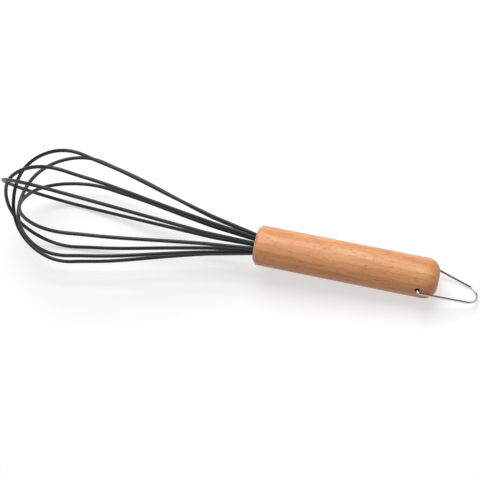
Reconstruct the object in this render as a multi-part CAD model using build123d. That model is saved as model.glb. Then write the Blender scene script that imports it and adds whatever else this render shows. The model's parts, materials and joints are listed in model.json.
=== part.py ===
from build123d import *
import math
import os

# Balloon whisk: five coated steel wire loops, nested one inside the next, held by a plug in the front
# end of a turned wooden handle, with a wire ring that swings in a cross hole near the handle's rear.
# Millimetres. The whisk is first built about its own axis: X runs from the tip of the balloon to the
# rear of the handle, and the handle's front face is at X = 0. It is then laid on the ground as it
# comes to rest, on two wires and the rear rim of the handle, with +Z up.

# Handle, turned from one piece of wood
handle_length = 116.8
handle_diameter = 25.8
front_bevel = 2.2
rear_rounding = 8.5
plug_bore_diameter = 18.6
plug_bore_spare = 1.4

# Cross hole for the hanging ring
hole_diameter = 2.2
hole_sink_depth = 0.8
hole_from_rear = 11.8
hole_angle = -66.2

# Plug that holds the ten wire ends, glued into the bore
plug_length = 14.0
plug_recess = 0.6
glue_line = 0.05
wire_ring_diameter = 11.9
wire_slant = 12.0
socket_depth = 3.0
core_depth = 9.5
wire_end_gap = 0.3

# Coated wire
coat_diameter = 2.4
core_diameter = 1.4
core_clearance = 0.03
socket_clearance = 0.04

# Balloon: every loop has a round nose and two straight legs, each bowed a little outwards at one
# place; the tips are nested at one pitch
balloon_reach = 173.9
nose_radius = 37.3
nest_gap = 0.4
bow_run = 31.4
bow_radius = 100.0

# Hanging ring, bent from one wire whose two ends spring into the cross hole
ring_wire_diameter = 1.6
ring_length = 37.8
ring_end_radius = 7.6
ring_elbow_radius = 1.8
ring_side_gap = 1.35
ring_ends_gap = 6.0

# One length that every cut runs past the surface it opens
overrun = 1.0

# For each loop from the outermost in: the angle of its plane about the axis, from straight up, how
# many nesting pitches its tip lies behind the first, and how far it leans in its plane and across it
LOOPS = [
    {"plane_angle": -19.2, "nest_share": 0.0, "lean_in": -1.8, "lean_across": 3.4},
    {"plane_angle": 17.0, "nest_share": 1.38, "lean_in": -0.5, "lean_across": -1.0},
    {"plane_angle": 53.0, "nest_share": 2.45, "lean_in": -0.3, "lean_across": 1.3},
    {"plane_angle": 92.2, "nest_share": 4.2, "lean_in": 2.0, "lean_across": 1.6},
    {"plane_angle": 128.2, "nest_share": 5.22, "lean_in": 1.7, "lean_across": 0.3},
]
RESTING_LOOPS = (0, 1)

handle_radius = handle_diameter / 2
hole_radius = hole_diameter / 2
ring_radius = wire_ring_diameter / 2
coat_radius = coat_diameter / 2
core_radius = core_diameter / 2
ring_wire_radius = ring_wire_diameter / 2
plug_bore_depth = plug_recess + plug_length + plug_bore_spare
bow_height = ring_radius + bow_run * math.tan(math.radians(wire_slant))
nest_pitch = coat_diameter + nest_gap
elbow_height = handle_radius + ring_wire_radius + ring_side_gap

TIPWARD = Vector(-1, 0, 0)
REARWARD = Vector(1, 0, 0)
HALF_TURN = 180.0
SETTLING_ROUNDS = 12
COAT_SIDES = 7
CORE_SIDES = 4
RING_SIDES = 8
SOCKET_SIDES = 6
ROUNDING_STEPS = 3


def around(angle):
    """Unit vector square to the whisk's axis, at an angle from straight up towards +Y."""
    turn = math.radians(angle)
    return Vector(0, math.sin(turn), math.cos(turn))


def bend(before, corner, after, radius):
    """The two ends and the middle of an arc that rounds a corner between two points."""
    back = (before - corner).normalized()
    ahead = (after - corner).normalized()
    half_turn = math.radians(HALF_TURN - back.get_angle(ahead)) / 2
    setback = radius * math.tan(half_turn)
    inward = radius / math.cos(half_turn) - radius
    return corner + back * setback, corner + (back + ahead).normalized() * inward, corner + ahead * setback


def wire_way(loop, side):
    """Where one leg of a loop crosses the handle's front face, and its direction into the plug."""
    spoke = around(loop["plane_angle"]) * side
    slant = math.radians(wire_slant)
    return spoke * ring_radius, REARWARD * math.cos(slant) - spoke * math.sin(slant)


def loop_path(loop, depth):
    """Centre line of a wire loop whose two ends stand a given depth in the plug."""
    lean_in = math.radians(loop["lean_in"])
    lean_across = math.radians(loop["lean_across"])
    spoke = around(loop["plane_angle"])
    across = around(loop["plane_angle"] + HALF_TURN / 2)
    leaned_axis = TIPWARD * math.cos(lean_across) + across * math.sin(lean_across)
    pivot = TIPWARD * bow_run
    to_centre = balloon_reach - nest_pitch * loop["nest_share"] - bow_run - nose_radius

    def place(along, out):
        return pivot + leaned_axis * along + spoke * out

    def on_nose(angle):
        along = to_centre * math.cos(lean_in) + nose_radius * math.cos(angle)
        out = to_centre * math.sin(lean_in) + nose_radius * math.sin(angle)
        return place(along, out)

    legs = []
    for side in (1, -1):
        back_along = -to_centre * math.cos(lean_in)
        back_out = side * bow_height - to_centre * math.sin(lean_in)
        facing = math.atan2(side * back_out, back_along) % math.tau
        meeting = side * (facing - math.acos(nose_radius / math.hypot(back_along, back_out)))
        mouth, inward = wire_way(loop, side)
        end = mouth + inward * depth
        tangent = on_nose(meeting)
        legs.append((end, bend(end, place(0, side * bow_height), tangent, bow_radius), tangent, meeting))

    (end_a, bend_a, tangent_a, meeting_a), (end_b, bend_b, tangent_b, meeting_b) = legs
    tip = on_nose(lean_in)
    return Wire(
        [
            Line(end_a, bend_a[0]).edge(),
            ThreePointArc(*bend_a).edge(),
            Line(bend_a[2], tangent_a).edge(),
            ThreePointArc(tangent_a, on_nose((meeting_a + lean_in) / 2), tip).edge(),
            ThreePointArc(tip, on_nose((meeting_b + lean_in) / 2), tangent_b).edge(),
            Line(tangent_b, bend_b[2]).edge(),
            ThreePointArc(bend_b[2], bend_b[1], bend_b[0]).edge(),
            Line(bend_b[0], end_b).edge(),
        ]
    )


def corner_radius(radius, sides):
    """How far out the corners lie of a many-sided section with the same area as a round one."""
    return radius * math.sqrt(math.tau / (sides * math.sin(math.tau / sides)))


def rod(path, radius, sides):
    """A wire along a path, with flat sides to keep its mesh light."""
    section = RegularPolygon(radius, sides)
    return sweep(Plane(origin=path @ 0, z_dir=path % 0) * section, path=path)


def make_core(loop):
    return rod(loop_path(loop, core_depth), core_corner, CORE_SIDES)


def make_sleeve(loop):
    path = loop_path(loop, socket_depth)
    return rod(path, coat_corner, COAT_SIDES) - rod(path, core_corner + core_clearance, CORE_SIDES)


def make_plug():
    """Plug with a stepped hole for each wire end: wide for the sleeve, then narrow for the bare core."""
    core_hole = RegularPolygon(core_corner + core_clearance, SOCKET_SIDES, major_radius=False)
    socket = RegularPolygon(coat_corner + socket_clearance, SOCKET_SIDES, major_radius=False)
    plug = Pos(X=plug_recess) * extrude(Plane.YZ * Circle(plug_bore_diameter / 2 - glue_line), plug_length)
    for loop in LOOPS:
        for side in (1, -1):
            mouth, inward = wire_way(loop, side)
            across = around(loop["plane_angle"] + HALF_TURN / 2)
            face = Plane(origin=mouth - inward * overrun, x_dir=across.cross(inward), z_dir=inward)
            plug -= extrude(face * core_hole, overrun + core_depth + wire_end_gap)
            plug -= extrude(face * socket, overrun + socket_depth)
    return plug


def make_handle():
    """Turned handle: a plain round bar with a small bevel in front and a well rounded rear."""
    front = [(0, 0), (0, handle_radius - front_bevel), (front_bevel, handle_radius)]
    rear = []
    for step in range(ROUNDING_STEPS + 1):
        turn = math.tau / 4 * step / ROUNDING_STEPS
        along = handle_length - rear_rounding + rear_rounding * math.sin(turn)
        rear.append((along, handle_radius - rear_rounding + rear_rounding * math.cos(turn)))
    outline = Polyline(*front, *rear, (handle_length, 0), close=True)
    handle = revolve(make_face(Plane.XY * outline), Axis.X)
    bore = extrude(Plane.YZ * Circle(plug_bore_diameter / 2), overrun + plug_bore_depth)
    handle -= Pos(X=-overrun) * bore

    half_hole = handle_radius + overrun
    centre = REARWARD * (handle_length - hole_from_rear)
    drill = Plane(origin=centre, x_dir=REARWARD, z_dir=around(hole_angle))
    handle -= drill * Cylinder(hole_radius, 2 * half_hole)
    sink_height = hole_sink_depth + overrun
    sink = Cone(hole_radius, hole_radius + sink_height, sink_height)
    sink = Pos(Z=handle_radius - hole_sink_depth + sink_height / 2) * sink
    handle -= drill * sink
    handle -= drill * (Rot(X=HALF_TURN) * sink)
    return handle


def ring_points(droop):
    """Corners and arc points of the hanging ring, turned down by an angle about the cross hole."""
    hole_axis = around(hole_angle)
    downward = around(hole_angle - HALF_TURN / 2)
    turn = math.radians(droop)
    outward = REARWARD * math.cos(turn) + downward * math.sin(turn)
    hole_centre = REARWARD * (handle_length - hole_from_rear)
    to_end_centre = ring_length - ring_end_radius
    to_corner = math.hypot(to_end_centre, elbow_height)
    taper = math.atan2(elbow_height, to_end_centre) - math.asin(ring_end_radius / to_corner)
    lean = HALF_TURN / 2 - math.degrees(taper)

    def place(along, out):
        return hole_centre + outward * along + hole_axis * out

    def on_end(angle):
        turned = math.radians(angle)
        along = to_end_centre + ring_end_radius * math.cos(turned)
        return place(along, ring_end_radius * math.sin(turned))

    return place, on_end, lean


def ring_path(droop):
    place, on_end, lean = ring_points(droop)
    near = place(0, elbow_height)
    far = place(0, -elbow_height)
    near_elbow = bend(place(0, 0), near, on_end(lean), ring_elbow_radius)
    far_elbow = bend(place(0, 0), far, on_end(-lean), ring_elbow_radius)
    return Wire(
        [
            Line(place(0, ring_ends_gap / 2), near_elbow[0]).edge(),
            ThreePointArc(*near_elbow).edge(),
            Line(near_elbow[2], on_end(lean)).edge(),
            ThreePointArc(on_end(lean), on_end(lean / 2), on_end(0)).edge(),
            ThreePointArc(on_end(0), on_end(-lean / 2), on_end(-lean)).edge(),
            Line(on_end(-lean), far_elbow[2]).edge(),
            ThreePointArc(far_elbow[2], far_elbow[1], far_elbow[0]).edge(),
            Line(far_elbow[0], place(0, -ring_ends_gap / 2)).edge(),
        ]
    )


def lowest(path, lay, radius):
    """Height of the underside of a round bar along a path, once it is laid down."""
    return (lay * path).bounding_box().min.Z - radius


def rim_height(lay):
    """Height of the underside of the handle's rear rounding."""
    rim = Plane(origin=REARWARD * (handle_length - rear_rounding), z_dir=REARWARD)
    circle = rim * Edge.make_circle(handle_radius - rear_rounding)
    return (lay * circle).bounding_box().min.Z - rear_rounding


def settle():
    """How the whisk lies: the tilt and roll that bring two wires and the rear rim to one level,
    and the droop that brings the hanging ring down to that level too."""
    wires = [loop_path(LOOPS[index], 0) for index in RESTING_LOOPS]
    spread = LOOPS[RESTING_LOOPS[1]]["plane_angle"] - LOOPS[RESTING_LOOPS[0]]["plane_angle"]
    stance = 2 * nose_radius * math.sin(math.radians(spread / 2))
    lever = handle_length + balloon_reach - nose_radius
    tilt = 0.0
    roll = 0.0
    for _ in range(SETTLING_ROUNDS):
        lay = Rot(Y=tilt) * Rot(X=roll)
        heights = [lowest(wire, lay, coat_radius) for wire in wires]
        rear = rim_height(lay)
        tilt += math.degrees((rear - min(heights)) / lever)
        roll += math.degrees((heights[1] - heights[0]) / stance)
    lay = Rot(Y=tilt) * Rot(X=roll)
    ground = rim_height(lay)
    droop = 0.0
    for _ in range(SETTLING_ROUNDS):
        height = lowest(ring_path(droop), lay, ring_wire_radius)
        droop += math.degrees((height - ground) / ring_length)
    return tilt, roll, droop


coat_corner = corner_radius(coat_radius, COAT_SIDES)
core_corner = corner_radius(core_radius, CORE_SIDES)
tilt, roll, droop = settle()
lay = Rot(Y=tilt) * Rot(X=roll)

parts = {"handle": make_handle(), "wire_plug": make_plug()}
for number, loop in enumerate(LOOPS, start=1):
    parts[f"wire_core_{number}"] = make_core(loop)
    parts[f"silicone_sleeve_{number}"] = make_sleeve(loop)
parts["hanging_ring"] = rod(ring_path(droop), corner_radius(ring_wire_radius, RING_SIDES), RING_SIDES)

# The origin is on the ground, below the middle of the whole whisk
laid = {name: lay * shape for name, shape in parts.items()}
box = Compound(children=[Compound(shape.solids()) for shape in laid.values()]).bounding_box()
middle = box.center()
stand = Pos(-middle.X, -middle.Y, -box.min.Z)

os.makedirs("parts", exist_ok=True)
for name, shape in laid.items():
    solids = (stand * shape).solids()
    export_step(solids[0] if len(solids) == 1 else Compound(solids), f"parts/{name}.step")

print(f"size {box.size.X:.1f} x {box.size.Y:.1f} x {box.size.Z:.1f}")
print(f"tilt {tilt:.2f}, roll {roll:.2f}, droop {droop:.2f} degrees")
paths = [loop_path(loop, 0) for loop in LOOPS]
for first, path in enumerate(paths):
    for second in range(first + 1, len(paths)):
        gap = path.distance_to(paths[second]) - coat_diameter
        print(f"loops {first + 1} and {second + 1} are {gap:.2f} apart")
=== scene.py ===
import json
import math

import bmesh
import bpy
from mathutils import Matrix, Vector


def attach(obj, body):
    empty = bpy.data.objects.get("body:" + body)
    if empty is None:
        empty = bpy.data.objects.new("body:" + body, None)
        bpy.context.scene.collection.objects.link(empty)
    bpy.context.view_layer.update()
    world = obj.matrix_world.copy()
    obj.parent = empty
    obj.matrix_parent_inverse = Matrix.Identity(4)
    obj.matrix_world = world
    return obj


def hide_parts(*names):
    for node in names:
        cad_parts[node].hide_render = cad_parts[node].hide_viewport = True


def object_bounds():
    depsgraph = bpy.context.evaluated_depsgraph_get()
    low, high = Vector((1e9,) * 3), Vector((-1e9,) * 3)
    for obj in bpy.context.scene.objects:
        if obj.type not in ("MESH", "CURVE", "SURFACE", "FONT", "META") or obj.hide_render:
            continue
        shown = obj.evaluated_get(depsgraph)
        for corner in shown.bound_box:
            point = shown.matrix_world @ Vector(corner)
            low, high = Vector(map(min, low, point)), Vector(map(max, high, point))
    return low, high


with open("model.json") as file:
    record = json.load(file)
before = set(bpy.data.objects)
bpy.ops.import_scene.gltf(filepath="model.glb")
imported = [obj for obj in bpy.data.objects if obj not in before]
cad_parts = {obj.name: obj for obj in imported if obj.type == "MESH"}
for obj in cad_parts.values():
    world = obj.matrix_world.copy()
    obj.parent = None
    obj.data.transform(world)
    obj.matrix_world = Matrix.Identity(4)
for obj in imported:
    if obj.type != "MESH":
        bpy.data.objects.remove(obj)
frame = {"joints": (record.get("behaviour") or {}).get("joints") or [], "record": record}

CAD_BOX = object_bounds()

# Sizes of the whisk, in metres
HANDLE_LENGTH = 0.1168
HANDLE_RADIUS = 0.0129
FRONT_BEVEL = 0.0022
REAR_ROUNDING = 0.0085
EDGE_WEAR = 0.00025
BORE_RADIUS = 0.0093
BORE_DEPTH = 0.016
HOLE_RADIUS = 0.0011
HOLE_SINK = 0.0008
HOLE_FROM_REAR = 0.0118
HOLE_ANGLE = -66.2

PLUG_RADIUS = 0.00925
PLUG_RECESS = 0.0006
PLUG_LENGTH = 0.014
SOCKET_RADIUS = 0.00124
SOCKET_DEPTH = 0.003
CORE_HOLE_RADIUS = 0.00075
CORE_DEPTH = 0.0095
WIRE_END_GAP = 0.0003
WIRE_RING_RADIUS = 0.00595
WIRE_SLANT = 12.0

COAT_RADIUS = 0.0012
CORE_RADIUS = 0.0007
COAT_BORE_RADIUS = 0.00073
BOW_RUN = 0.0314
BOW_RADIUS = 0.1
BALLOON_REACH = 0.1739
NOSE_RADIUS = 0.0373
NEST_PITCH = 0.0028

RING_WIRE_RADIUS = 0.0008
RING_LENGTH = 0.0378
RING_END_RADIUS = 0.0076
RING_ELBOW_RADIUS = 0.0018
RING_ELBOW_HEIGHT = 0.01505
RING_ENDS_GAP = 0.006

# How far a cutter reaches past the surface that it cuts
OVERRUN = 0.001

# How finely the meshes are made: sides of the round pieces, and steps of their bends and roundings
HANDLE_SIDES = 160
PLUG_SIDES = 96
DRILL_SIDES = 40
STEP_DRILL_SIDES = 32
COAT_SIDES = 24
CORE_SIDES = 12
RING_SIDES = 24
STRAIGHT_STEPS = 56
REAR_STEPS = 16
BEVEL_STEPS = 4
PLUG_EDGE_STEPS = 3
NOSE_STEPS = 120
BOW_STEPS = 6
ELBOW_STEPS = 10
RING_END_STEPS = 28
DOME_STEPS = 4

# Turn of the front bevel from square to the axis, height of a domed wire end as a share of the wire's
# radius, and the angle from which an edge is shaded sharp
BEVEL_TURN = 45.0
DOME_SHARE = 0.35
SHARP_ANGLE = 35.0

# The wire loops, outermost first: angle of the loop's plane from straight up, nesting pitches that
# its tip stands behind the first, and how far it leans in its plane and across it
LOOPS = [
    {"plane_angle": -19.2, "nest_share": 0.0, "lean_in": -1.8, "lean_across": 3.4},
    {"plane_angle": 17.0, "nest_share": 1.38, "lean_in": -0.5, "lean_across": -1.0},
    {"plane_angle": 53.0, "nest_share": 2.45, "lean_in": -0.3, "lean_across": 1.3},
    {"plane_angle": 92.2, "nest_share": 4.2, "lean_in": 2.0, "lean_across": 1.6},
    {"plane_angle": 128.2, "nest_share": 5.22, "lean_in": 1.7, "lean_across": 0.3},
]

# Spring wire has no sudden change of bend, so each loop stands a little outside or inside the plain
# arc and straight legs: distance along the wire from its tip, reach of the swell, and its height
WIRE_SWELLS = [(0.020, 0.014, 0.0005), (0.070, 0.013, -0.0005), (0.098, 0.028, 0.00095)]
WIRE_STEP = 0.0025

# Photograph: its size in pixels, where the middle of the handle's front face is, the distance from
# the camera to that face, and how many pixels one unit of slope covers
PHOTO_SIZE = 480
FACE_PIXEL = (256.35, 244.42)
FACE_DISTANCE = 0.67977
FOCAL_PIXELS = 1062.5
SENSOR_WIDTH = 36.0

# How the whisk's axis stands in the photograph: its slope, how far the balloon points away from the
# camera, and the direction about the axis, from straight up, that faces the camera
AXIS_SLOPE = 11.21
AXIS_RECEDE = 9.0
FACING_ANGLE = -24.0

# Beech: its ground, streaks, growth bands, rays, pores, and painted shade for the walls of the cross hole
BEECH_PALE = (0.91, 0.445, 0.200, 1)
BEECH_WARM = (0.82, 0.360, 0.153, 1)
BEECH_STREAK = (0.68, 0.262, 0.104, 1)
BEECH_BAND = (0.63, 0.245, 0.096, 1)
BEECH_RAY = (0.42, 0.150, 0.064, 1)
BEECH_PORE = (0.34, 0.125, 0.055, 1)
# Near-black painted shade for the walls and sink of the cross hole
BEECH_HOLE_SHADE = (0.030, 0.014, 0.009, 1)

# Repeats of the grain's patterns in a metre, along the handle and both ways across it
WANDER_SCALE = (20.0, 62.0, 62.0)
STREAK_SCALE = (30.0, 340.0, 340.0)
BROAD_SCALE = (22.0, 95.0, 95.0)
RAY_SCALE = (190.0, 950.0, 950.0)
PORE_SCALE = (480.0, 2900.0, 2900.0)

# Growth rings: their pitch and how far they wander, in metres, and for either way across the handle
# how the pith slants along it and how far from the handle's axis it lies at the front face
GROWTH_PITCH = 0.0035
GROWTH_WANDER = 0.0090
PITH = (("Y", 0.055, 0.031), ("Z", -0.03, 0.024))

# The other finishes
SILICONE_DARK = (0.017, 0.0185, 0.0205, 1)
SILICONE_LIGHT = (0.025, 0.027, 0.0295, 1)
SILICONE_DUST = (0.06, 0.062, 0.065, 1)
STEEL_CLEAN = (0.62, 0.615, 0.60, 1)
STEEL_DULL = (0.54, 0.535, 0.52, 1)
PLUG_DARK = (0.016, 0.016, 0.017, 1)
PLUG_LIGHT = (0.028, 0.028, 0.029, 1)
WHITE = (1, 1, 1, 1)

# Floor: half its side, how far under the whisk it lies, its matte colour, and the white added for
# the camera and mirrors, which grows between two distances from the whisk
FLOOR_HALF = 3.0
FLOOR_DROP = 0.0002
FLOOR_MATTE = (0.48, 0.48, 0.482, 1)
GLOW_NEAR = 0.17
GLOW_FAR = 0.6
GLOW_AT_WHISK = 0.575

# Room: its level as a light, and what mirrors see of it from a white horizon up to a dark ceiling
ROOM_LIGHT = 0.29
HORIZON_UP_TO = 0.18
CEILING_FROM = 0.6
HORIZON_LEVEL = 0.9
CEILING_LEVEL = 0.11

# Lamp: its shares of the whisk's cross direction and of the world's axes, distance, side and power
KEY_ACROSS = 0.44
KEY_DIRECTION = Vector((-0.10, 0, 1))
KEY_DISTANCE = 1.0
KEY_SIZE = 0.75
KEY_POWER = 9.3


def record_item(group, name):
    """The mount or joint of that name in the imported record."""
    return next(item for item in group if item["name"] == name)


# The whisk's own axes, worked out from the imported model's mounts and joint
RECORD = frame["record"]
REAR_MOUNT = record_item(RECORD["mounts"], "handle_end")
EYE_MOUNT = record_item(RECORD["mounts"], "hanging_eye")
HINGE = record_item(frame["joints"], "ring_swing")
REARWARD = Vector(REAR_MOUNT["axis"]).normalized()
TIPWARD = -REARWARD
HINGE_AXIS = Vector(HINGE["axis"]).normalized()
HINGE_SIDE = REARWARD.cross(HINGE_AXIS).normalized()
HINGE_TURN = math.radians(HOLE_ANGLE)
ACROSS = HINGE_AXIS * math.sin(HINGE_TURN) - HINGE_SIDE * math.cos(HINGE_TURN)
UPWARD = HINGE_AXIS * math.cos(HINGE_TURN) + HINGE_SIDE * math.sin(HINGE_TURN)
FACE_CENTRE = Vector(REAR_MOUNT["pos_m"]) - REARWARD * HANDLE_LENGTH
HOLE_CENTRE = FACE_CENTRE + REARWARD * (HANDLE_LENGTH - HOLE_FROM_REAR)
RING_OUTWARD = (Vector(EYE_MOUNT["pos_m"]) - HOLE_CENTRE).normalized()


def around(angle):
    """Unit vector square to the whisk's axis, at an angle in degrees from straight up."""
    turn = math.radians(angle)
    return ACROSS * math.sin(turn) + UPWARD * math.cos(turn)


# Mesh helpers

def new_object(name, data):
    """An object in the scene that holds a mesh, lamp or camera."""
    item = bpy.data.objects.new(name, data)
    bpy.context.scene.collection.objects.link(item)
    return item


def shade(mesh):
    """Smooth shading between sharp edges."""
    mesh.shade_smooth()
    mesh.set_sharp_from_angle(angle=math.radians(SHARP_ANGLE))


def finish_mesh(name, bm):
    """An object from a bmesh, with outward normals."""
    bmesh.ops.recalc_face_normals(bm, faces=bm.faces)
    mesh = bpy.data.meshes.new(name)
    bm.to_mesh(mesh)
    bm.free()
    shade(mesh)
    return new_object(name, mesh)


def square_pair(direction):
    """Two unit vectors square to a direction and to each other."""
    helper = Vector((0, 0, 1)) if abs(direction.z) < 0.9 else Vector((0, 1, 0))
    first = direction.cross(helper).normalized()
    return first, direction.cross(first).normalized()


def bridge_rings(bm, first, second):
    """Faces between two closed rings of as many vertices."""
    count = len(first)
    for index in range(count):
        after = (index + 1) % count
        bm.faces.new((first[index], first[after], second[after], second[index]))


def path_rings(bm, points, radius, sides):
    """Rings of vertices square to a path, turned from one to the next without twist."""
    rings = []
    side = None
    for index, point in enumerate(points):
        before = points[max(index - 1, 0)]
        after = points[min(index + 1, len(points) - 1)]
        direction = (after - before).normalized()
        if side is None:
            side = square_pair(direction)[0]
        side = (side - direction * side.dot(direction)).normalized()
        other = direction.cross(side)
        ring = []
        for step in range(sides):
            turn = math.tau * step / sides
            offset = side * math.cos(turn) + other * math.sin(turn)
            ring.append(bm.verts.new(point + offset * radius))
        rings.append(ring)
    return rings


def skin_rings(bm, rings):
    """Faces along a row of rings."""
    for first, second in zip(rings, rings[1:]):
        bridge_rings(bm, first, second)


def domed_rod(name, points, radius, sides):
    """A solid wire along a path, its two ends domed."""
    bm = bmesh.new()
    rings = path_rings(bm, points, radius, sides)
    skin_rings(bm, rings)
    for ring, tip, inner in ((rings[0], points[0], points[1]), (rings[-1], points[-1], points[-2])):
        outward = (tip - inner).normalized()
        last = ring
        for step in range(1, DOME_STEPS):
            turn = math.tau / 4 * step / DOME_STEPS
            centre = tip + outward * (radius * DOME_SHARE * math.sin(turn))
            smaller = [bm.verts.new(centre + (v.co - tip) * math.cos(turn)) for v in ring]
            bridge_rings(bm, last, smaller)
            last = smaller
        bm.faces.new(last)
    return finish_mesh(name, bm)


def hollow_rod(name, points, radius, bore, sides):
    """A tube along a path, with a bore and a flat ring at each end."""
    bm = bmesh.new()
    outer = path_rings(bm, points, radius, sides)
    inner = path_rings(bm, points, bore, sides)
    skin_rings(bm, outer)
    skin_rings(bm, inner)
    bridge_rings(bm, outer[0], inner[0])
    bridge_rings(bm, outer[-1], inner[-1])
    return finish_mesh(name, bm)


def lathe(name, profile, start, axis, sides):
    """A solid turned about an axis. The profile's points are (along, radius), with radius 0 at its
    two ends."""
    side, other = square_pair(axis)
    bm = bmesh.new()
    rings = []
    for along, radius in profile:
        centre = start + axis * along
        if radius == 0:
            rings.append([bm.verts.new(centre)])
            continue
        ring = []
        for step in range(sides):
            turn = math.tau * step / sides
            outward = side * math.cos(turn) + other * math.sin(turn)
            ring.append(bm.verts.new(centre + outward * radius))
        rings.append(ring)
    for first, second in zip(rings, rings[1:]):
        if len(first) == 1 or len(second) == 1:
            point, ring = (first[0], second) if len(first) == 1 else (second[0], first)
            for index in range(sides):
                bm.faces.new((point, ring[index], ring[(index + 1) % sides]))
        else:
            bridge_rings(bm, first, second)
    return finish_mesh(name, bm)


def cut(piece, cutter):
    """The piece less the cutter, which is used up."""
    modifier = piece.modifiers.new("cut", "BOOLEAN")
    modifier.operation = "DIFFERENCE"
    modifier.solver = "EXACT"
    modifier.object = cutter
    bpy.context.view_layer.update()
    depsgraph = bpy.context.evaluated_depsgraph_get()
    mesh = bpy.data.meshes.new_from_object(piece.evaluated_get(depsgraph))
    piece.modifiers.clear()
    piece.data = mesh
    shade(mesh)
    bpy.data.objects.remove(cutter)
    return piece


def rounding(centre_along, centre_radius, size, start, end, steps):
    """Points of an arc in a profile, from one angle to another, where 0 points along the axis."""
    points = []
    for step in range(steps + 1):
        turn = math.radians(start + (end - start) * step / steps)
        points.append((centre_along + size * math.cos(turn), centre_radius + size * math.sin(turn)))
    return points


# Paths of the wires

def bend(before, corner, after, radius, steps):
    """Points of the arc that rounds a corner between two points."""
    back = (before - corner).normalized()
    ahead = (after - corner).normalized()
    half_turn = (math.pi - back.angle(ahead)) / 2
    centre = corner + (back + ahead).normalized() * (radius / math.cos(half_turn))
    first = (corner + back * (radius * math.tan(half_turn)) - centre).normalized()
    last = (corner + ahead * (radius * math.tan(half_turn)) - centre).normalized()
    return [centre + first.slerp(last, step / steps) * radius for step in range(steps + 1)]


def wire_way(loop, side):
    """Where one leg of a loop crosses the handle's front face, and its direction into the plug."""
    spoke = around(loop["plane_angle"]) * side
    slant = math.radians(WIRE_SLANT)
    return FACE_CENTRE + spoke * WIRE_RING_RADIUS, REARWARD * math.cos(slant) - spoke * math.sin(slant)


def even_points(points, step):
    """Points along a path at even distances, with the distance of each from the path's middle."""
    lengths = [(after - before).length for before, after in zip(points, points[1:])]
    total = sum(lengths)
    count = math.ceil(total / step)
    spaced = [(points[0], -total / 2)]
    index = 0
    passed = 0.0
    for number in range(1, count):
        wanted = total * number / count
        while passed + lengths[index] < wanted:
            passed += lengths[index]
            index += 1
        share = (wanted - passed) / lengths[index]
        spaced.append((points[index].lerp(points[index + 1], share), wanted - total / 2))
    spaced.append((points[-1], total / 2))
    return spaced


def swollen(points, plane_normal):
    """The path with the wire's soft swells, outward in the loop's plane."""
    spaced = even_points(points, WIRE_STEP)
    moved = [spaced[0][0]]
    for (before, _), (point, from_tip), (after, _) in zip(spaced, spaced[1:], spaced[2:]):
        outward = (after - before).cross(plane_normal).normalized()
        height = 0.0
        for place, reach, swell in WIRE_SWELLS:
            height += swell * math.exp(-((abs(from_tip) - place) / reach) ** 2)
        moved.append(point + outward * height)
    moved.append(spaced[-1][0])
    return moved


def loop_points(loop, depth):
    """Centre line of a balloon loop whose two ends stand a given depth in the plug."""
    lean_in = math.radians(loop["lean_in"])
    lean_across = math.radians(loop["lean_across"])
    spoke = around(loop["plane_angle"])
    across = around(loop["plane_angle"] + 90.0)
    leaned_axis = TIPWARD * math.cos(lean_across) + across * math.sin(lean_across)
    pivot = FACE_CENTRE + TIPWARD * BOW_RUN
    bow_height = WIRE_RING_RADIUS + BOW_RUN * math.tan(math.radians(WIRE_SLANT))
    to_centre = BALLOON_REACH - NEST_PITCH * loop["nest_share"] - BOW_RUN - NOSE_RADIUS

    def place(along, out):
        return pivot + leaned_axis * along + spoke * out

    def on_nose(angle):
        along = to_centre * math.cos(lean_in) + NOSE_RADIUS * math.cos(angle)
        return place(along, to_centre * math.sin(lean_in) + NOSE_RADIUS * math.sin(angle))

    legs = []
    meetings = []
    for side in (1, -1):
        back_along = -to_centre * math.cos(lean_in)
        back_out = side * bow_height - to_centre * math.sin(lean_in)
        facing = math.atan2(side * back_out, back_along) % math.tau
        meeting = side * (facing - math.acos(NOSE_RADIUS / math.hypot(back_along, back_out)))
        mouth, inward = wire_way(loop, side)
        end = mouth + inward * depth
        corner = place(0, side * bow_height)
        legs.append([end] + bend(end, corner, on_nose(meeting), BOW_RADIUS, BOW_STEPS))
        meetings.append(meeting)
    nose = []
    for step in range(NOSE_STEPS + 1):
        nose.append(on_nose(meetings[0] + (meetings[1] - meetings[0]) * step / NOSE_STEPS))
    return swollen(legs[0] + nose + legs[1][::-1], spoke.cross(leaned_axis))


def ring_points():
    """Centre line of the hanging ring, from one end in the cross hole to the other."""
    to_end_centre = RING_LENGTH - RING_END_RADIUS
    to_corner = math.hypot(to_end_centre, RING_ELBOW_HEIGHT)
    taper = math.atan2(RING_ELBOW_HEIGHT, to_end_centre) - math.asin(RING_END_RADIUS / to_corner)
    lean = math.pi / 2 - taper

    def place(along, out):
        return HOLE_CENTRE + RING_OUTWARD * along + HINGE_AXIS * out

    def on_end(angle):
        along = to_end_centre + RING_END_RADIUS * math.cos(angle)
        return place(along, RING_END_RADIUS * math.sin(angle))

    sides = []
    for side in (1, -1):
        end = place(0, side * RING_ENDS_GAP / 2)
        corner = place(0, side * RING_ELBOW_HEIGHT)
        elbow = bend(end, corner, on_end(side * lean), RING_ELBOW_RADIUS, ELBOW_STEPS)
        sides.append([end] + elbow)
    crown = [on_end(lean - 2 * lean * step / RING_END_STEPS) for step in range(RING_END_STEPS + 1)]
    return sides[0] + crown + sides[1][::-1]


# Pieces of the whisk

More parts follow.
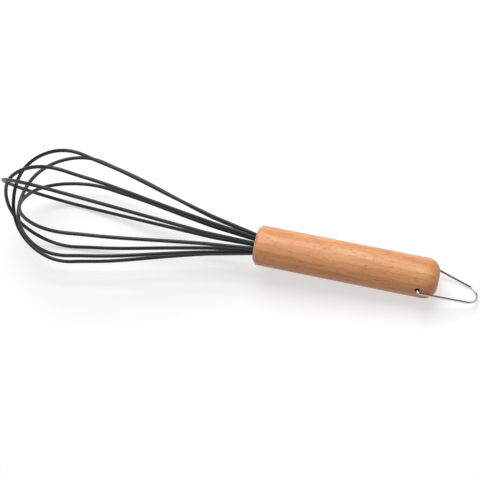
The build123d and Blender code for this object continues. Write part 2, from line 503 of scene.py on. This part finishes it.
def make_handle():
    """The turned handle: bored in front, bevelled at the mouth, well rounded at the rear."""
    outer_wear = 2 * EDGE_WEAR
    bevel_in = HANDLE_RADIUS - FRONT_BEVEL
    straight_start = FRONT_BEVEL + EDGE_WEAR
    straight_end = HANDLE_LENGTH - REAR_ROUNDING
    half_way = 180 - BEVEL_TURN
    profile = [(BORE_DEPTH, 0), (BORE_DEPTH, BORE_RADIUS)]
    profile += rounding(EDGE_WEAR, BORE_RADIUS + EDGE_WEAR, EDGE_WEAR, 270, 180, BEVEL_STEPS)
    profile += rounding(outer_wear, bevel_in - EDGE_WEAR, outer_wear, 180, half_way, BEVEL_STEPS)
    profile += rounding(straight_start, HANDLE_RADIUS - outer_wear, outer_wear, half_way, 90, BEVEL_STEPS)
    for step in range(1, STRAIGHT_STEPS):
        along = straight_start + (straight_end - straight_start) * step / STRAIGHT_STEPS
        profile.append((along, HANDLE_RADIUS))
    profile += rounding(straight_end, HANDLE_RADIUS - REAR_ROUNDING, REAR_ROUNDING, 90, 0, REAR_STEPS)
    profile.append((HANDLE_LENGTH, 0))
    handle = lathe("turned_handle", profile, FACE_CENTRE, REARWARD, HANDLE_SIDES)

    half = HANDLE_RADIUS + OVERRUN
    sink_radius = HOLE_RADIUS + HOLE_SINK + OVERRUN
    inner = HANDLE_RADIUS - HOLE_SINK
    drill = [
        (-half, 0),
        (-half, sink_radius),
        (-inner, HOLE_RADIUS),
        (inner, HOLE_RADIUS),
        (half, sink_radius),
        (half, 0),
    ]
    return cut(handle, lathe("drill", drill, HOLE_CENTRE, HINGE_AXIS, DRILL_SIDES))


def make_plug():
    """The plug in the bore, with a stepped hole for each wire end."""
    start = FACE_CENTRE + REARWARD * PLUG_RECESS
    profile = [(0, 0)]
    profile += rounding(EDGE_WEAR, PLUG_RADIUS - EDGE_WEAR, EDGE_WEAR, 180, 90, PLUG_EDGE_STEPS)
    profile += [(PLUG_LENGTH, PLUG_RADIUS), (PLUG_LENGTH, 0)]
    plug = lathe("wire_holder", profile, start, REARWARD, PLUG_SIDES)
    step_hole = [
        (-OVERRUN, 0),
        (-OVERRUN, SOCKET_RADIUS),
        (SOCKET_DEPTH, SOCKET_RADIUS),
        (SOCKET_DEPTH, CORE_HOLE_RADIUS),
        (CORE_DEPTH + WIRE_END_GAP, CORE_HOLE_RADIUS),
        (CORE_DEPTH + WIRE_END_GAP, 0),
    ]
    for loop in LOOPS:
        for side in (1, -1):
            mouth, inward = wire_way(loop, side)
            plug = cut(plug, lathe("step_drill", step_hole, mouth, inward, STEP_DRILL_SIDES))
    return plug


# Materials

class Nodes:
    """A material's nodes, made and linked in short calls."""

    def __init__(self, name):
        self.material = bpy.data.materials.new(name)
        self.material.use_nodes = True
        self.tree = self.material.node_tree
        self.tree.nodes.clear()
        self.output = self.tree.nodes.new("ShaderNodeOutputMaterial")

    def add(self, kind, settings=None, **inputs):
        """A node of that kind, with its settings, and with values or links for its inputs."""
        node = self.tree.nodes.new("ShaderNode" + kind)
        for key, value in (settings or {}).items():
            setattr(node, key, value)
        for key, value in inputs.items():
            self.put(node, key.replace("_", " "), value)
        return node

    def put(self, node, key, value):
        """Links or sets one input, given by its name or number."""
        socket = node.inputs[int(key) if key.isdigit() else key]
        if isinstance(value, bpy.types.NodeSocket):
            self.tree.links.new(value, socket)
        else:
            socket.default_value = value

    def math(self, operation, first, second=0.0):
        node = self.add("Math", {"operation": operation})
        self.put(node, "0", first)
        self.put(node, "1", second)
        return node.outputs[0]

    def hypot(self, first, second):
        squares = [self.math("POWER", side, 2.0) for side in (first, second)]
        return self.math("SQRT", self.math("ADD", *squares))

    def stretched(self, place, scale):
        """The place with each of its axes scaled, for patterns that run long one way."""
        node = self.add("VectorMath", {"operation": "MULTIPLY"})
        self.put(node, "0", place)
        self.put(node, "1", scale)
        return node.outputs[0]

    def noise(self, place, scale, detail=2.0, roughness=0.5, distortion=0.0):
        node = self.add("TexNoise", Vector=place, Scale=scale, Detail=detail, Roughness=roughness)
        self.put(node, "Distortion", distortion)
        return node.outputs["Fac"]

    def ramp(self, value, low, high, from_value=0.0, to_value=1.0):
        """The value stretched from low..high to from_value..to_value, smoothly and within them."""
        node = self.add("MapRange", {"interpolation_type": "SMOOTHSTEP"}, Value=value)
        self.put(node, "From Min", low)
        self.put(node, "From Max", high)
        self.put(node, "To Min", from_value)
        self.put(node, "To Max", to_value)
        return node.outputs[0]

    def mix(self, share, first, second):
        node = self.add("Mix", {"data_type": "RGBA"})
        self.put(node, "0", share)
        self.put(node, "6", first)
        self.put(node, "7", second)
        return node.outputs[2]

    def bump(self, height, distance, strength):
        return self.add("Bump", Height=height, Distance=distance, Strength=strength).outputs[0]

    def close(self, shader):
        self.tree.links.new(shader.outputs[0], self.output.inputs["Surface"])
        return self.material


def whisk_place(nodes):
    """The place on the whisk along its own axes: X along the handle, from the front face."""
    turn = Matrix((REARWARD, ACROSS, UPWARD))
    offset = -(turn @ FACE_CENTRE)
    place = nodes.add("TexCoord").outputs["Object"]
    mapping = nodes.add("Mapping", {"vector_type": "POINT"}, Vector=place)
    nodes.put(mapping, "Location", offset)
    nodes.put(mapping, "Rotation", turn.to_euler())
    return mapping.outputs[0]


def make_wood():
    """Steamed beech: a warm ground with wandering growth bands, long soft streaks, and the short dark
    dashes of its rays and pores. Painted shade darkens the walls of the drilled hole."""
    nodes = Nodes("beech")
    place = whisk_place(nodes)
    parts = nodes.add("SeparateXYZ", Vector=place)

    # Growth rings about a pith that lies beside the handle and runs a little aslant to it
    wander = nodes.noise(nodes.stretched(place, WANDER_SCALE), 1.0, 3.0)
    from_pith = []
    for axis, slant, distance in PITH:
        slanted = nodes.math("MULTIPLY", parts.outputs["X"], slant)
        slanted = nodes.math("ADD", parts.outputs[axis], slanted)
        from_pith.append(nodes.math("ADD", slanted, distance))
    radius = nodes.hypot(*from_pith)
    radius = nodes.math("ADD", radius, nodes.math("MULTIPLY", wander, GROWTH_WANDER))
    band_phase = nodes.math("FRACT", nodes.math("DIVIDE", radius, GROWTH_PITCH))
    late_wood = nodes.ramp(band_phase, 0.45, 0.97)

    streak = nodes.noise(nodes.stretched(place, STREAK_SCALE), 1.0, 3.0, 0.6, 0.5)
    broad = nodes.noise(nodes.stretched(place, BROAD_SCALE), 1.0, 2.0)
    ground = nodes.mix(nodes.ramp(broad, 0.3, 0.7), BEECH_PALE, BEECH_WARM)
    ground = nodes.mix(nodes.ramp(streak, 0.42, 0.72, 0.0, 0.75), ground, BEECH_STREAK)
    ground = nodes.mix(nodes.math("MULTIPLY", late_wood, 0.36), ground, BEECH_BAND)

    rays = nodes.noise(nodes.stretched(place, RAY_SCALE), 1.0, 1.0, 0.5, 0.3)
    ray_share = nodes.ramp(rays, 0.61, 0.72)
    pores = nodes.noise(nodes.stretched(place, PORE_SCALE), 1.0, 1.0)
    pore_share = nodes.ramp(pores, 0.62, 0.70)
    ground = nodes.mix(nodes.math("MULTIPLY", ray_share, 0.42), ground, BEECH_RAY)
    ground = nodes.mix(nodes.math("MULTIPLY", pore_share, 0.45), ground, BEECH_PORE)

    # Painted shade on the walls of the cross hole, by the distance from the hole's axis
    turn = math.radians(HOLE_ANGLE)
    hole_along = nodes.math("SUBTRACT", parts.outputs["X"], HANDLE_LENGTH - HOLE_FROM_REAR)
    hole_across = nodes.math("MULTIPLY", parts.outputs["Y"], -math.cos(turn))
    hole_up = nodes.math("MULTIPLY", parts.outputs["Z"], math.sin(turn))
    from_hole = nodes.hypot(hole_along, nodes.math("ADD", hole_across, hole_up))
    hole_shade = nodes.ramp(from_hole, HOLE_RADIUS + 0.8 * HOLE_SINK, HOLE_RADIUS + 0.3 * HOLE_SINK)
    ground = nodes.mix(hole_shade, ground, BEECH_HOLE_SHADE)

    pits = nodes.math("MULTIPLY", pore_share, -0.6)
    height = nodes.math("ADD", pits, nodes.math("MULTIPLY", streak, 0.35))
    shader = nodes.add("BsdfPrincipled", Roughness=nodes.ramp(streak, 0.3, 0.7, 0.39, 0.50))
    nodes.put(shader, "Base Color", ground)
    nodes.put(shader, "IOR", 1.5)
    nodes.put(shader, "Normal", nodes.bump(height, 0.00012, 0.5))
    return nodes.close(shader)


def make_silicone():
    """Charcoal silicone: satin, faintly mottled, with a dusting that dulls its gloss in patches."""
    nodes = Nodes("charcoal_silicone")
    place = nodes.add("TexCoord").outputs["Object"]
    cloud = nodes.noise(place, 55.0, 3.0)
    grit = nodes.noise(place, 1900.0, 2.0)
    colour = nodes.mix(nodes.ramp(cloud, 0.35, 0.65), SILICONE_DARK, SILICONE_LIGHT)
    colour = nodes.mix(nodes.ramp(grit, 0.62, 0.78, 0.0, 0.25), colour, SILICONE_DUST)
    shader = nodes.add("BsdfPrincipled", Roughness=nodes.ramp(cloud, 0.3, 0.7, 0.34, 0.43))
    nodes.put(shader, "Base Color", colour)
    nodes.put(shader, "IOR", 1.46)
    nodes.put(shader, "Normal", nodes.bump(grit, 0.00003, 0.35))
    return nodes.close(shader)


def make_steel(name, low, high):
    """Drawn steel wire, its roughness between low and high along fine scratches."""
    nodes = Nodes(name)
    place = nodes.add("TexCoord").outputs["Object"]
    scratch = nodes.noise(nodes.stretched(place, (260.0, 2400.0, 2400.0)), 1.0, 2.0)
    tarnish = nodes.noise(place, 120.0, 2.0)
    colour = nodes.mix(nodes.ramp(tarnish, 0.35, 0.7), STEEL_CLEAN, STEEL_DULL)
    roughness = nodes.ramp(scratch, 0.3, 0.7, low, high)
    shader = nodes.add("BsdfPrincipled", Metallic=1.0, Roughness=roughness)
    nodes.put(shader, "Base Color", colour)
    nodes.put(shader, "Normal", nodes.bump(scratch, 0.00001, 0.3))
    return nodes.close(shader)


def make_plug_plastic():
    """The black plug that the wires stand in."""
    nodes = Nodes("black_plug")
    place = nodes.add("TexCoord").outputs["Object"]
    grain = nodes.noise(place, 2600.0, 2.0)
    colour = nodes.mix(nodes.ramp(grain, 0.4, 0.7), PLUG_DARK, PLUG_LIGHT)
    shader = nodes.add("BsdfPrincipled", Roughness=nodes.ramp(grain, 0.3, 0.7, 0.5, 0.62))
    nodes.put(shader, "Base Color", colour)
    nodes.put(shader, "Normal", nodes.bump(grain, 0.00004, 0.4))
    return nodes.close(shader)


def dress(piece, material, slot, body, *replaced):
    """Gives a piece its finish, puts it on the body that it rides on, and hides the parts that it
    replaces.
    """
    piece.data.materials.clear()
    piece.data.materials.append(material)
    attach(piece, body)
    if replaced:
        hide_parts(*replaced)


wood = make_wood()
silicone = make_silicone()
core_steel = make_steel("core_steel", 0.28, 0.38)
ring_steel = make_steel("ring_steel", 0.09, 0.16)
plug_plastic = make_plug_plastic()

dress(make_handle(), wood, "wood", "whisk", "handle")
dress(make_plug(), plug_plastic, "plug_plastic", "whisk", "wire_plug")
for number, loop in enumerate(LOOPS, start=1):
    core_path = loop_points(loop, CORE_DEPTH)
    core = domed_rod(f"spring_wire_{number}", core_path, CORE_RADIUS, CORE_SIDES)
    dress(core, core_steel, "core_steel", "whisk", f"wire_core_{number}")
    coat_path = loop_points(loop, SOCKET_DEPTH)
    coat = hollow_rod(f"coated_loop_{number}", coat_path, COAT_RADIUS, COAT_BORE_RADIUS, COAT_SIDES)
    dress(coat, silicone, "silicone", "whisk", f"silicone_sleeve_{number}")
ring = domed_rod("hanging_loop", ring_points(), RING_WIRE_RADIUS, RING_SIDES)
dress(ring, ring_steel, "ring_wire", "ring", "hanging_ring")


# Floor, light and camera

def make_floor():
    """A white floor that keeps its soft shadows. Only the camera and mirrors see its added white."""
    bm = bmesh.new()
    corners = []
    for across, along in ((-1, -1), (1, -1), (1, 1), (-1, 1)):
        corners.append(bm.verts.new((across * FLOOR_HALF, along * FLOOR_HALF, -FLOOR_DROP)))
    bm.faces.new(corners)
    floor = finish_mesh("floor", bm)
    nodes = Nodes("white_floor")
    path = nodes.add("LightPath")
    seen = nodes.math("MAXIMUM", path.outputs["Is Camera Ray"], path.outputs["Is Glossy Ray"])
    seen = nodes.math("MAXIMUM", seen, path.outputs["Is Transmission Ray"])
    matte = nodes.add("BsdfDiffuse")
    nodes.put(matte, "Color", FLOOR_MATTE)
    place = nodes.add("TexCoord").outputs["Object"]
    from_whisk = nodes.add("VectorMath", {"operation": "LENGTH"}, Vector=place)
    added = nodes.ramp(from_whisk.outputs["Value"], GLOW_NEAR, GLOW_FAR, GLOW_AT_WHISK, 1.0)
    glow = nodes.add("Emission")
    nodes.put(glow, "Color", WHITE)
    nodes.put(glow, "Strength", nodes.math("MULTIPLY", seen, added))
    both = nodes.add("AddShader")
    nodes.put(both, "0", matte.outputs[0])
    nodes.put(both, "1", glow.outputs[0])
    floor.data.materials.append(nodes.close(both))


def make_world():
    """A pale room. The camera sees it white, and mirrors see it white with a dark ceiling."""
    world = bpy.data.worlds.new("studio")
    bpy.context.scene.world = world
    world.use_nodes = True
    tree = world.node_tree
    tree.nodes.clear()

    def stretch(value, low, high, from_value, to_value):
        """The value stretched from low..high to from_value..to_value, each a number or a link."""
        node = tree.nodes.new("ShaderNodeMapRange")
        ends = {"From Min": low, "From Max": high, "To Min": from_value, "To Max": to_value}
        for key, setting in ends.items():
            if isinstance(setting, bpy.types.NodeSocket):
                tree.links.new(setting, node.inputs[key])
            else:
                node.inputs[key].default_value = setting
        tree.links.new(value, node.inputs["Value"])
        return node.outputs[0]

    path = tree.nodes.new("ShaderNodeLightPath")
    mirrored = tree.nodes.new("ShaderNodeMath")
    mirrored.operation = "MAXIMUM"
    tree.links.new(path.outputs["Is Glossy Ray"], mirrored.inputs[0])
    tree.links.new(path.outputs["Is Transmission Ray"], mirrored.inputs[1])
    direction = tree.nodes.new("ShaderNodeSeparateXYZ")
    tree.links.new(tree.nodes.new("ShaderNodeTexCoord").outputs["Generated"], direction.inputs[0])
    height = direction.outputs["Z"]
    seen_in_mirrors = stretch(height, HORIZON_UP_TO, CEILING_FROM, HORIZON_LEVEL, CEILING_LEVEL)
    level = stretch(mirrored.outputs[0], 0.0, 1.0, ROOM_LIGHT, seen_in_mirrors)
    level = stretch(path.outputs["Is Camera Ray"], 0.0, 1.0, level, 1.0)
    background = tree.nodes.new("ShaderNodeBackground")
    background.inputs["Color"].default_value = WHITE
    output = tree.nodes.new("ShaderNodeOutputWorld")
    tree.links.new(level, background.inputs["Strength"])
    tree.links.new(background.outputs[0], output.inputs["Surface"])


def make_softbox(name, direction, distance, size, power):
    """A square lamp at a distance from the whisk's middle, facing it."""
    middle = (CAD_BOX[0] + CAD_BOX[1]) / 2
    lamp = bpy.data.lights.new(name, "AREA")
    lamp.shape = "SQUARE"
    lamp.size = size
    lamp.energy = power
    item = new_object(name, lamp)
    item.location = middle + direction.normalized() * distance
    item.rotation_euler = direction.to_track_quat("Z", "Y").to_euler()


def make_camera():
    """The camera that saw the whisk as the photograph shows it."""
    # The whisk's axes as the camera sees them: X to the right, Y down and Z away from it
    slope = math.radians(AXIS_SLOPE)
    recede = math.radians(AXIS_RECEDE)
    tip_seen = Vector((-math.cos(slope), -math.sin(slope), 0)) * math.cos(recede)
    tip_seen.z = math.sin(recede)
    up_seen = Vector((math.sin(slope), -math.cos(slope), 0))
    up_seen = (up_seen - tip_seen * up_seen.dot(tip_seen)).normalized()
    facing_seen = tip_seen.cross(up_seen)
    if facing_seen.z > 0:
        facing_seen = -facing_seen
    seen = Matrix((tip_seen, up_seen, facing_seen)).transposed()

    # The turn from what the camera sees to the world, and how far the face is from the middle
    real = Matrix((TIPWARD, around(FACING_ANGLE + 90.0), around(FACING_ANGLE))).transposed()
    turn = real @ seen.transposed()
    right, down, forward = turn.col[0], turn.col[1], turn.col[2]
    per_pixel = FACE_DISTANCE / FOCAL_PIXELS
    offset_right = (FACE_PIXEL[0] - PHOTO_SIZE / 2) * per_pixel
    offset_down = (FACE_PIXEL[1] - PHOTO_SIZE / 2) * per_pixel

    data = bpy.data.cameras.new("camera")
    data.sensor_fit = "HORIZONTAL"
    data.sensor_width = SENSOR_WIDTH
    data.lens = FOCAL_PIXELS * SENSOR_WIDTH / PHOTO_SIZE
    data.clip_start = 0.01
    camera = new_object("camera", data)
    place = FACE_CENTRE - right * offset_right - down * offset_down - forward * FACE_DISTANCE
    stand = Matrix((right, -down, -forward)).transposed().to_4x4()
    camera.matrix_world = Matrix.Translation(place) @ stand
    bpy.context.scene.camera = camera


make_floor()
make_world()
make_softbox("key", ACROSS * KEY_ACROSS + KEY_DIRECTION, KEY_DISTANCE, KEY_SIZE, KEY_POWER)
make_camera()
bpy.context.scene.view_settings.view_transform = "Standard"
